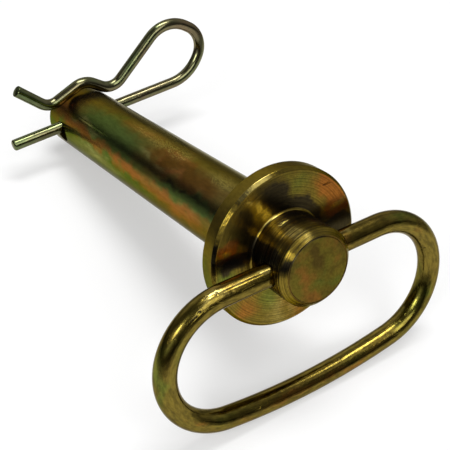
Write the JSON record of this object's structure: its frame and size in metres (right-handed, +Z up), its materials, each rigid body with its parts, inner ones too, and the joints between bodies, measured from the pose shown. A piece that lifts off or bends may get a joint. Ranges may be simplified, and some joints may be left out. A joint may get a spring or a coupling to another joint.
{
  "type": "hitch pin",
  "caption": "Round steel hitch pin with a flanged head, a wire bail handle that swings in the head, and a wire spring clip through the tip.",
  "frame": {"origin": "on the ground, below the middle of the pin's box as it rests on the edge of its tip and on its bail's bar", "axes": "+Z up; +X level, from the tip towards the head; +Y across, towards the bow of the clip. The pin's own axis rises 12.95 degrees from +X"},
  "size_m": [0.1284, 0.083, 0.053],
  "materials": {
    "turned_zinc": "turned steel, zinc plated and yellow passivated, with iridescent patches",
    "drawn_zinc": "bent wire, zinc plated and yellow passivated, glossy",
    "spring_wire": "spring wire, zinc plated, pale and glossy"
  },
  "bodies": {
    "pin": {"pin_body": "turned_zinc"},
    "bail": {"bail_handle": "drawn_zinc"},
    "clip": {"spring_clip": "spring_wire"}
  },
  "joints": [
    {"name": "bail_swing", "type": "hinge", "parent": "pin", "child": "bail", "pos_m": [0.0544, -0.0019, 0.03571], "axis": [0, 1, 0], "range_deg": [-249, 67.6]},
    {"name": "clip_pull", "type": "slide", "parent": "pin", "child": "clip", "axis": [-0.0133, 0.9982, 0.0578], "range_m": [0, 0.036], "deforming": ["spring_clip"]}
  ]
}
